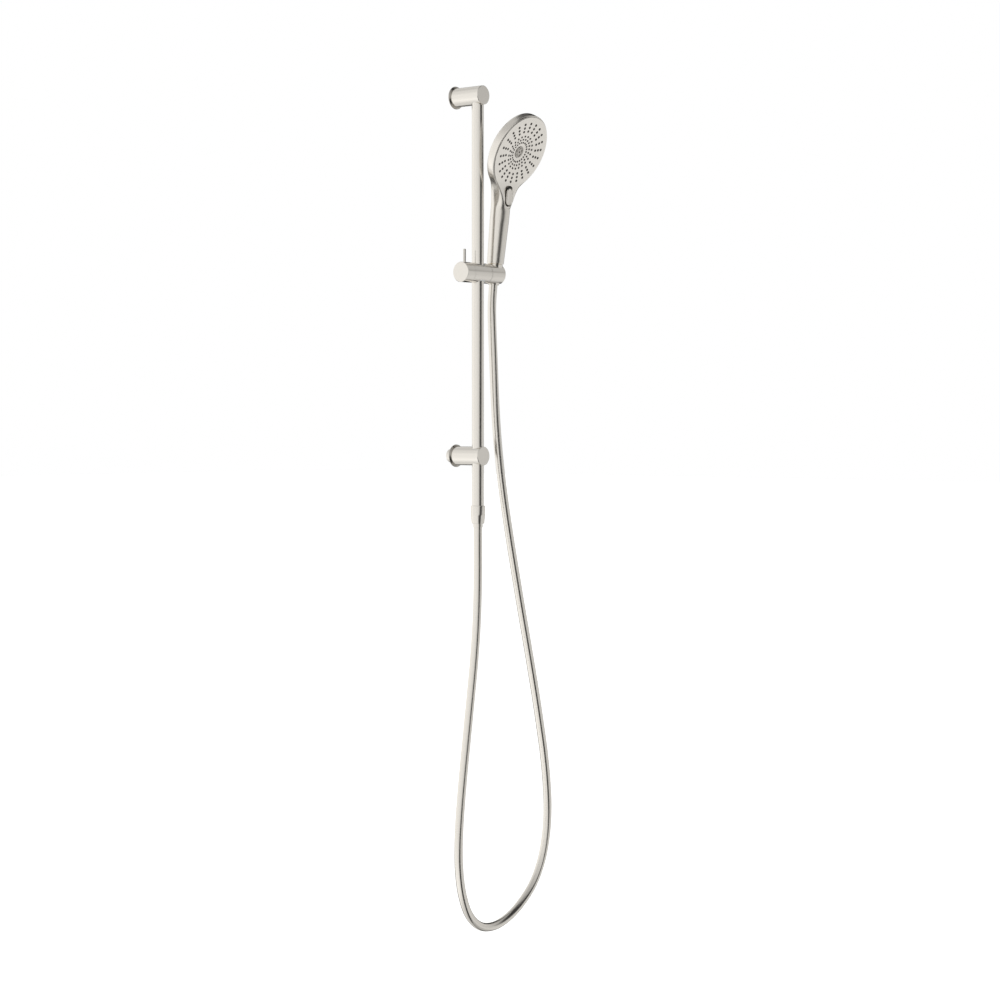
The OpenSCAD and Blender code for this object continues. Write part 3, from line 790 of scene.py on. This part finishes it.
def plain(name, colour, rough, metal=0.0, spread=0.04, scale=300):
    """Rubber or plastic: a little mottling in the roughness and tone."""
    return satin(name, colour, rough, spread, (1, 1, 1), 0.0, metal, scale)


SATIN = (0.80, 0.775, 0.735)
NICKEL = satin("brushed_nickel", SATIN, 0.17, 0.03, (1, 1, 0.04), 0.06)
NICKEL_CROSS = satin("brushed_nickel_cross", SATIN, 0.19, 0.03, (0.04, 1, 1), 0.06)
NICKEL_FACE = satin("nickel_end_faces", SATIN, 0.3, 0.03, (1, 1, 1), 0.05)
PLATED = satin("plated_body", SATIN, 0.25, 0.03, (1, 1, 0.04), 0.04)
PLATE = satin("plated_face", (0.90, 0.875, 0.835), 0.3, 0.04, (0.05, 1, 1), 0.05)
# The cover rings are the same nickel made darker: painted shade for the dark ring round the brackets at
# the wall
SHADED_FLANGE = satin("nickel_cover_rings_painted_shade", (0.46, 0.44, 0.41), 0.22, 0.03, (1, 1, 1), 0.04)
LEVER = satin("nickel_lever", (0.62, 0.60, 0.57), 0.18, 0.03, (1, 1, 0.04), 0.04)
INSERT = satin("insert", (0.55, 0.53, 0.50), 0.26, 0.03, (1, 1, 1), 0.04)
BRASS = satin("brass", (0.75, 0.56, 0.28), 0.3, 0.05, (1, 1, 0.1), 0.05)
RUBBER = plain("seal_rubber", (0.02, 0.02, 0.02), 0.6)
PLASTIC = plain("inner_plastic", (0.5, 0.51, 0.51), 0.42)
# Nearly black plastic for the key's well: painted shade for the dark gap round the key
WELL_PAINTED_SHADE = plain("well_plastic_painted_shade", (0.06, 0.058, 0.055), 0.5)
TIPS = plain("nozzle_silicone", (0.035, 0.031, 0.028), 0.6)
SLEEVE = satin("hose_sleeve", SATIN, 0.2, 0.03, (1, 1, 0.2), 0.03)


def finish_as(obj, material):
    obj.data.materials.clear()
    obj.data.materials.append(material)


# ---- The pieces ----

shell = body_shell()
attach(shell, "handset")
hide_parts("handle_shell")
finish_as(shell, PLATED)

panel = front_panel()
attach(panel, "handset")
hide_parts("face_panel")
finish_as(panel, PLATE)

tips = nozzles()
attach(tips, "handset")
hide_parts("nozzle_mat")
finish_as(tips, TIPS)

key = button()
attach(key, "button")
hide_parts("selector_button")
finish_as(key, PLATED)

stem = key_stem()
shade(stem, 40)
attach(stem, "button")
finish_as(stem, PLASTIC)

spring, spring_keep = coil_spring()
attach(spring, "handset")
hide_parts("button_spring")
finish_as(spring, BRASS)
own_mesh(spring)

# The well is nearly black as painted shade in the gap round the key; only its sloping top ring is plated
well = button_well()
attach(well, "handset")
finish_as(well, WELL_PAINTED_SHADE)
well.data.materials.append(PLATED)
for f in well.data.polygons[:WELL_SIDES]:
    f.material_index = 1

# The hose, in six stretches along one route.
low, low_path, low_long = hose_piece("hose_from_rail", 0, 10)
bottom, bottom_path, bottom_long = hose_piece("hose_loop", 10, 21)
rise, rise_path, rise_long = hose_piece("hose_rise", 21, 29)
side, side_path, side_long = hose_piece("hose_beside_rail", 29, 33)
upper, upper_path, upper_long = hose_piece("hose_under_holder", 33, 37.375)
end, end_path, end_long = hose_piece("hose_end_stretch", 37.375, 38)
for piece in (low, bottom, rise, side, upper, end):
    finish_as(piece, SLEEVE)
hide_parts("hose")
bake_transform(low)
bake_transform(bottom)
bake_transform(rise)
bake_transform(side)
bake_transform(upper)
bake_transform(end)

# CAD parts that show as they are, with their edges eased
LOOKS = {
    # The flanges take the darkened cover-ring nickel, which is painted shade
    "lower_flange": (SHADED_FLANGE, 0.25), "upper_flange": (SHADED_FLANGE, 0.25),
    "lower_bracket": (NICKEL_CROSS, 0.3), "upper_bracket": (NICKEL_CROSS, 0.3),
    "wall_nipple": (NICKEL_FACE, 0.2), "nipple_o_ring": (RUBBER, 0), "check_valve": (PLASTIC, 0),
    "wall_spigot": (BRASS, 0), "bracket_grub_screws": (NICKEL_FACE, 0.1),
    "rail_tube": (NICKEL, 0), "rail_top_plug": (PLASTIC, 0), "rail_o_rings": (RUBBER, 0),
    "rail_outlet_nipple": (BRASS, 0), "rail_hose_washer": (RUBBER, 0), "rail_hose_nut": (NICKEL, 0.3),
    "rail_ferrule": (NICKEL, 0.3), "slider_bush": (PLASTIC, 0), "slider_body": (NICKEL_CROSS, 0.25),
    "holder_pivot_screw": (BRASS, 0), "holder_wave_washer": (PLASTIC, 0),
    "lock_knob": (NICKEL_CROSS, 0.3), "lock_lever": (LEVER, 0.25), "brake_pad": (PLASTIC, 0),
    "holder": (NICKEL_CROSS, 0.3), "handset_ferrule": (NICKEL, 0.2), "cone_nut": (NICKEL, 0.2),
    "handset_washer": (RUBBER, 0), "inlet_nipple": (BRASS, 0), "spray_chamber": (PLASTIC, 0),
    "centre_insert": (INSERT, 0.15), "water_tube": (PLASTIC, 0), "selector_valve": (PLASTIC, 0),
    "button_spring": (BRASS, 0),
    "handle_shell": (PLATED, 0), "face_panel": (PLATE, 0), "nozzle_mat": (TIPS, 0),
    "selector_button": (PLATED, 0), "hose": (SLEEVE, 0),
}
for name, (material, ease) in LOOKS.items():
    part = nodes[name]
    part.data.materials.clear()
    part.data.materials.append(material)
    if ease:
        weld = part.modifiers.new("weld", "WELD")
        weld.merge_threshold = 1e-6
        bevel(part, ease, 35)
        even = part.modifiers.new("even", "WEIGHTED_NORMAL")
        even.weight = 100
        even.keep_sharp = False

# ---- Floor, light and background ----

FLOOR_HALF = 40         # metres
FLOOR_Z = -1.15
ground = bpy.data.meshes.new("floor")
corners = [(-FLOOR_HALF, -FLOOR_HALF, FLOOR_Z), (FLOOR_HALF, -FLOOR_HALF, FLOOR_Z),
           (FLOOR_HALF, FLOOR_HALF, FLOOR_Z), (-FLOOR_HALF, FLOOR_HALF, FLOOR_Z)]
ground.from_pydata(corners, [], [(0, 1, 2, 3)])
floor = bpy.data.objects.new("floor", ground)
bpy.context.scene.collection.objects.link(floor)
pale, _, pale_shader = new_material("pale_floor", (0.9, 0.9, 0.9), 0.9, 0.0)
pale_shader.inputs["Emission Color"].default_value = (1, 1, 1, 1)
pale_shader.inputs["Emission Strength"].default_value = 0.75
floor.data.materials.append(pale)
floor.visible_glossy = False

world = bpy.data.worlds.new("studio")
bpy.context.scene.world = world
world.use_nodes = True
w = world.node_tree
w.nodes.clear()


def node(kind, **values):
    """Adds a node to the world."""
    n = w.nodes.new(kind)
    for k, v in values.items():
        setattr(n, k, v)
    return n


def math_node(operation, *inputs):
    """Adds a calculation on numbers or other nodes' outputs, and gives its own output."""
    n = node("ShaderNodeMath", operation=operation)
    for i, x in enumerate(inputs):
        if isinstance(x, (int, float)):
            n.inputs[i].default_value = x
        else:
            w.links.new(x, n.inputs[i])
    return n.outputs[0]


def ramp_node(value, stops):
    """Adds an eased ramp through stops of place and level, and gives its output."""
    n = node("ShaderNodeValToRGB")
    n.color_ramp.interpolation = "EASE"
    while len(n.color_ramp.elements) < len(stops):
        n.color_ramp.elements.new(0.5)
    for e, (place, level) in zip(n.color_ramp.elements, sorted(stops)):
        e.position = place
        e.color = (level, level, level, 1)
    w.links.new(value, n.inputs[0])
    return n.outputs[0]


ray = node("ShaderNodeTexCoord")
split = node("ShaderNodeSeparateXYZ")
w.links.new(ray.outputs["Generated"], split.inputs[0])
# Azimuth 0 looks towards -Y and grows towards -X, as a share of a full turn with 0.5 at -Y
azimuth = math_node("ARCTAN2", math_node("MULTIPLY", split.outputs[0], -1.0),
                    math_node("MULTIPLY", split.outputs[1], -1.0))
share = math_node("ADD", math_node("DIVIDE", azimuth, 2 * math.pi), 0.5)


def az(degrees):
    """Degrees of azimuth as a share of a full turn."""
    return 0.5 + degrees / 360


# How bright the room is all the way round
round_about = ramp_node(share, [
    (0.0, 1.02), (az(-145), 0.98), (az(-133), 0.85), (az(-125), 0.12), (az(-113), 0.12), (az(-98), 0.55),
    (az(-84), 0.76), (az(-50), 0.67), (az(-30), 0.70), (az(27), 0.78), (az(52), 0.90), (az(95), 1.0),
    (az(130), 1.03), (az(156), 1.16), (1.0, 1.02)])
# A narrow dark strip in front of the shower, which leans to the left lower down
LEAN = 0.34
LEAN_MOST = 0.065
lean = math_node("MULTIPLY", split.outputs[2], LEAN)
lean = math_node("MAXIMUM", math_node("MINIMUM", lean, LEAN_MOST), -LEAN_MOST)
strip = ramp_node(math_node("ADD", share, lean), [
    (az(-34), 1.0), (az(-17), 0.06), (az(8), 0.06), (az(29), 1.0)])
height = math_node("ADD", math_node("MULTIPLY", split.outputs[2], 0.5), 0.5)
up_down = ramp_node(height, [
    (0.0, 0.6), (0.1, 0.8), (0.24, 1.12), (0.4, 1.03), (0.5, 1.0),
    (0.62, 1.0), (0.8, 0.8), (0.92, 0.62), (1.0, 0.6)])
# Darker patches behind on the right, above and below eye level
below = math_node("MULTIPLY",
                  ramp_node(share, [(0.0, 0.75), (az(-170), 1.0), (az(-112), 1.0), (az(-98), 0.0),
                                    (az(165), 0.0), (1.0, 0.75)]),
                  ramp_node(height, [(0.15, 0.0), (0.23, 1.0), (0.37, 1.0), (0.44, 0.0)]))
above = math_node("MULTIPLY",
                  ramp_node(share, [(az(-140), 0.0), (az(-130), 1.0), (az(-102), 1.0), (az(-90), 0.0)]),
                  ramp_node(height, [(0.56, 0.0), (0.63, 1.0), (0.79, 1.0), (0.85, 0.0)]))
PATCH_DEPTH = 0.88
patches = math_node("SUBTRACT", 1.0, math_node("MULTIPLY", math_node("ADD", below, above), PATCH_DEPTH))
level = round_about
for factor in (strip, up_down, patches):
    level = math_node("MULTIPLY", level, factor)
glow = node("ShaderNodeBackground")
w.links.new(level, glow.inputs["Strength"])
glow.inputs["Color"].default_value = (1.0, 0.985, 0.955, 1)
white = node("ShaderNodeBackground")
white.inputs["Color"].default_value = (1, 1, 1, 1)
white.inputs["Strength"].default_value = 1.0
seen = node("ShaderNodeLightPath")
choose = node("ShaderNodeMixShader")
w.links.new(seen.outputs["Is Camera Ray"], choose.inputs[0])
w.links.new(glow.outputs[0], choose.inputs[1])
w.links.new(white.outputs[0], choose.inputs[2])
out = node("ShaderNodeOutputWorld")
w.links.new(choose.outputs[0], out.inputs["Surface"])
bpy.context.scene.view_settings.view_transform = "Standard"
bpy.context.scene.view_settings.look = "None"
